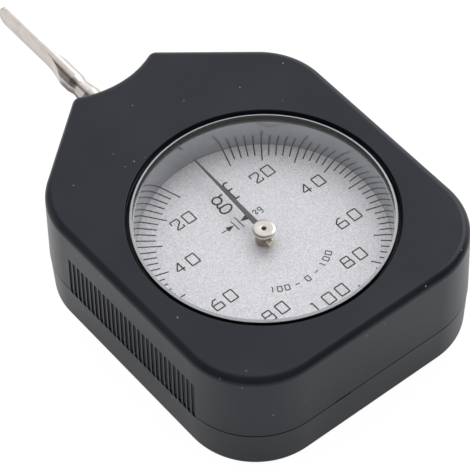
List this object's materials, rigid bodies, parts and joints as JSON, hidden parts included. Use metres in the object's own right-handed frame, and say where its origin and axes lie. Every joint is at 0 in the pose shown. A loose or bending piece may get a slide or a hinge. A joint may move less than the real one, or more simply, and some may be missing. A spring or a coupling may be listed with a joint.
{
  "type": "dial tension gauge",
  "caption": "Hand-held dial tension gauge: moulded case with grip grooves, round window, centre-zero dial and pointer, and a sprung lever at its nose geared to the pointer.",
  "frame": {"origin": "on the flat back face of the case, on the dial axis", "axes": "+X to the right of the dial seen from the front, +Y from the dial to the lever's tip, +Z out of the dial"},
  "size_m": [0.0604, 0.1133, 0.025],
  "materials": {
    "black_moulding": "fine-grained satin moulding, near black",
    "black_steel": "blackened steel",
    "black_rubber": "matt black seal",
    "clear_acrylic": "clear acrylic, polished",
    "grey_plastic": "semi-gloss mid grey moulding",
    "silver_dial": "pale silver-white, fine grain, printed dark grey",
    "brass": "turned and milled brass",
    "nickel": "nickel-plated steel, lightly brushed",
    "steel": "turned steel",
    "blue_steel": "blued spring steel",
    "needle_paint": "dark grey satin paint"
  },
  "bodies": {
    "case": {"front_shell": "black_moulding", "back_cover": "black_moulding", "case_screw_1": "black_steel", "case_screw_2": "black_steel", "case_screw_3": "black_steel", "case_screw_4": "black_steel", "crystal": "clear_acrylic", "crystal_gasket": "black_rubber", "dial_ring": "grey_plastic", "dial_plate": "silver_dial", "dial_foot_1": "brass", "dial_foot_2": "brass", "dial_foot_3": "brass", "back_plate": "brass", "front_plate": "brass", "pillar_1": "brass", "pillar_2": "brass", "pillar_3": "brass", "pillar_4": "brass", "plate_screw_1": "steel", "plate_screw_2": "steel", "plate_screw_3": "steel", "plate_screw_4": "steel", "base_screw_1": "steel", "base_screw_2": "steel", "base_screw_3": "steel", "base_screw_4": "steel", "lever_bush_back": "brass", "lever_bush_front": "brass", "arbor_bush_back": "brass", "arbor_bush_front": "brass", "spring_pin_1": "steel", "spring_pin_2": "steel", "stop_pin_1": "steel", "stop_pin_2": "steel", "hairspring_stud": "brass", "hairspring": "blue_steel"},
    "lever": {"lever_arm": "nickel", "lever_hub": "brass", "lever_shaft": "steel", "hub_grub_screw": "steel", "sector_gear": "brass", "leaf_spring": "blue_steel"},
    "pointer": {"pointer_arbor": "steel", "pinion": "steel", "hairspring_collet": "brass", "pointer_hub": "nickel", "pointer_screw": "nickel", "pointer": "needle_paint", "pointer_cap": "nickel"}
  },
  "joints": [
    {"name": "lever_pivot", "type": "hinge", "parent": "case", "child": "lever", "pos_m": [0, 0.034, 0.0108], "axis": [0, 0, 1], "range_deg": [-15, 15], "stiffness_Nm_per_rad": 0.18, "deforming": ["leaf_spring"]},
    {"name": "pointer_spin", "type": "hinge", "parent": "case", "child": "pointer", "pos_m": [0, 0, 0.0174], "axis": [0, 0, 1], "range_deg": [-180, 180], "deforming": ["hairspring"]}
  ],
  "couplings": [
    {"joint": "pointer_spin", "follows": "lever_pivot", "ratio": -12}
  ]
}
